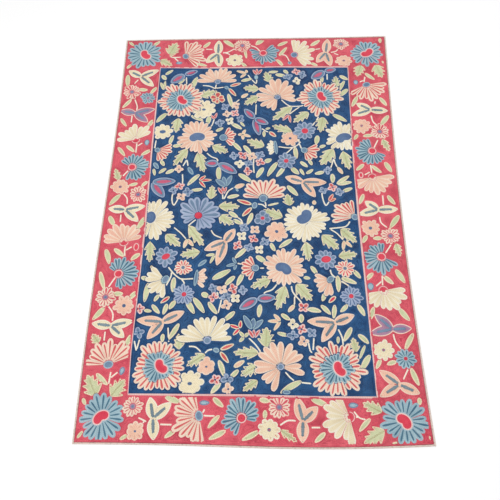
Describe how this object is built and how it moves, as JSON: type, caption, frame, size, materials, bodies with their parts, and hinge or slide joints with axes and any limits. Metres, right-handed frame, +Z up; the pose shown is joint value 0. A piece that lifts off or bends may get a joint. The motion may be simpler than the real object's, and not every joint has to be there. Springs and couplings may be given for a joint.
{
  "type": "flat embroidered floral rug",
  "caption": "Flat rectangular wool rug, all-over chain stitch flowers and leaves on a blue field with a red border, narrow cotton binding.",
  "frame": {"origin": "on the floor, under the middle of the rug's box", "axes": "+X across the rug to the viewer's right, +Y along its length to the far end, +Z up"},
  "size_m": [1.2244, 1.8436, 0.0034],
  "materials": {
    "wool_embroidery": "matte wool yarn in chain stitch",
    "cotton_binding": "matte folded cotton, whipped to the edge"
  },
  "bodies": {
    "root": {"rug_face": "wool_embroidery", "binding_left": "cotton_binding", "binding_right": "cotton_binding", "binding_near": "cotton_binding", "binding_far": "cotton_binding"}
  },
  "joints": []
}
